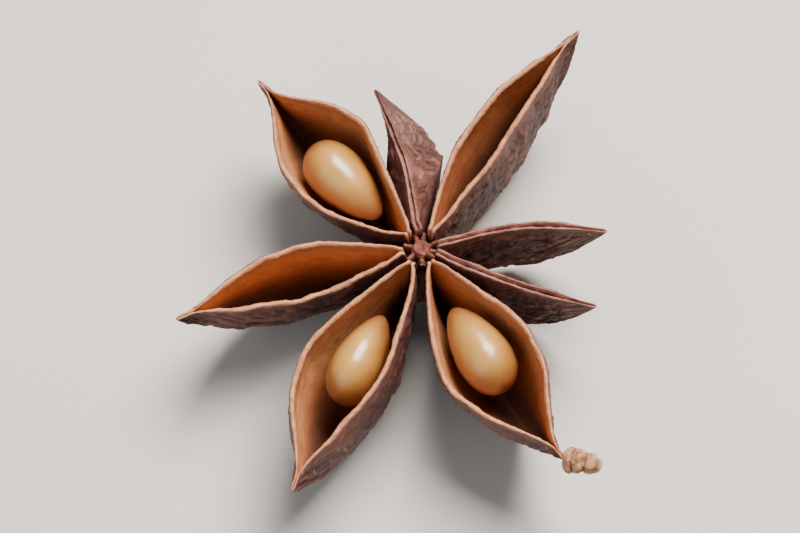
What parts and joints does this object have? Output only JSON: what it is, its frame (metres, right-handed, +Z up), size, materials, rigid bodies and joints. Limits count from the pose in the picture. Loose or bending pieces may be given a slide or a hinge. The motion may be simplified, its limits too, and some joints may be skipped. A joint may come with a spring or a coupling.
{
  "type": "star anise pod",
  "caption": "Dried star-shaped spice pod of boat-shaped follicles round a short column, split open with glossy seeds lying inside.",
  "frame": {"origin": "where the pod's axis meets the surface it lies on, at the middle of the broken stalk's flat end", "axes": "+Z up along the pod's axis, out of the side where the follicles split; +Y towards the upper side of the pod in the picture, and the longest way across"},
  "size_m": [0.0268, 0.0303, 0.0091],
  "materials": {
    "husk_skin": "dry wrinkled brown skin, satin orange-brown lining",
    "seed_coat": "hard glossy golden tan seed coat"
  },
  "bodies": {
    "root": {"husk": "husk_skin", "seed_upper_left": "seed_coat", "seed_lower_left": "seed_coat", "seed_lower_right": "seed_coat"}
  },
  "joints": []
}
